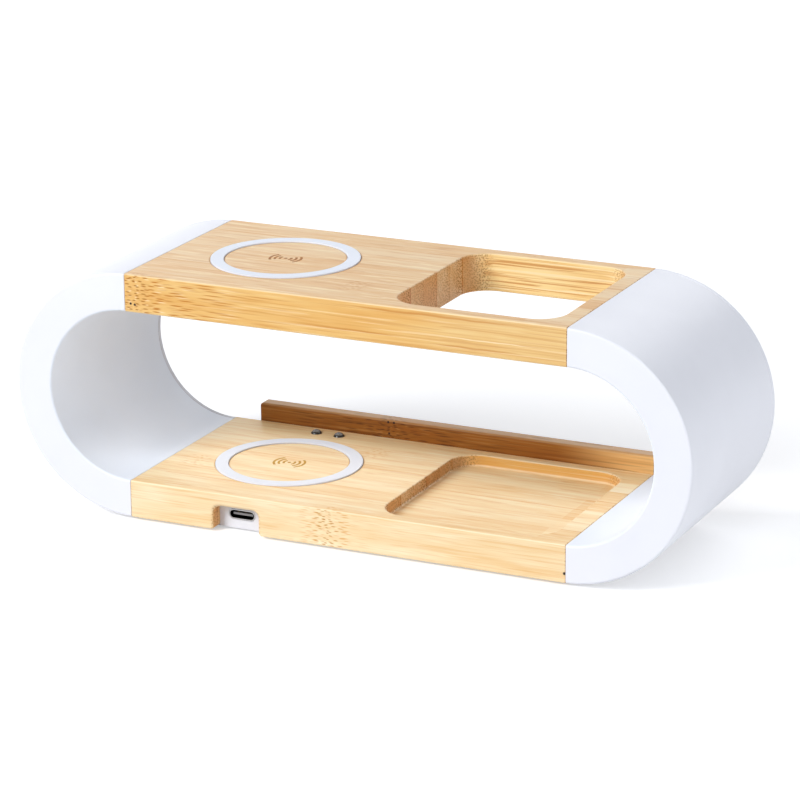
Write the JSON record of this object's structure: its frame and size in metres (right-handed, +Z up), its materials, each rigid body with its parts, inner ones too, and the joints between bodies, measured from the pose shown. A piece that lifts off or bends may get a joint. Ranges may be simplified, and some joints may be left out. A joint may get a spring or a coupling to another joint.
{
  "type": "charging station organizer",
  "caption": "Bamboo charging organizer: upper and lower boards joined by white half-round bows, with charging rings, a window over a tray, a back stop rail and a power inlet.",
  "frame": {"origin": "middle of the whole outline, on the surface that the feet stand on", "axes": "+X to the right along the boards, +Y to the back where the rail is, +Z up"},
  "size_m": [0.223, 0.0754, 0.0792],
  "materials": {
    "bamboo": "satin lacquer",
    "white_plastic": "fine matt",
    "ring_silicone": "matt",
    "copper_winding": "enamelled",
    "ferrite": "matt",
    "circuit_board": "satin",
    "black_plastic": "matt",
    "connector_plastic": "satin",
    "smoke_lens": "clear gloss",
    "inlet_steel": "satin",
    "lead_sheath": "matt",
    "screw_steel": "zinc plated",
    "foot_rubber": "matt"
  },
  "bodies": {
    "root": {"upper_board": "bamboo", "lower_board": "bamboo", "back_rail": "bamboo", "rail_dowels": "bamboo", "left_bow_shell": "white_plastic", "right_bow_shell": "white_plastic", "left_bow_cover": "white_plastic", "right_bow_cover": "white_plastic", "upper_cover": "white_plastic", "bottom_cover": "white_plastic", "upper_ring": "ring_silicone", "lower_ring": "ring_silicone", "upper_coil": "copper_winding", "lower_coil": "copper_winding", "upper_ferrite": "ferrite", "lower_ferrite": "ferrite", "main_board": "circuit_board", "upper_terminal_board": "circuit_board", "board_chips": "black_plastic", "board_inductors": "ferrite", "board_capacitors": "connector_plastic", "led_chips": "connector_plastic", "light_pipe_left": "smoke_lens", "light_pipe_right": "smoke_lens", "usb_c_shell": "inlet_steel", "usb_c_tongue": "black_plastic", "link_lead": "lead_sheath", "lower_link_plug": "connector_plastic", "upper_link_plug": "connector_plastic", "lower_link_socket": "connector_plastic", "upper_link_socket": "connector_plastic", "upper_cover_screws": "screw_steel", "bottom_cover_screws": "screw_steel", "foot_front_left": "foot_rubber", "foot_front_right": "foot_rubber", "foot_back_left": "foot_rubber", "foot_back_right": "foot_rubber"}
  },
  "joints": []
}
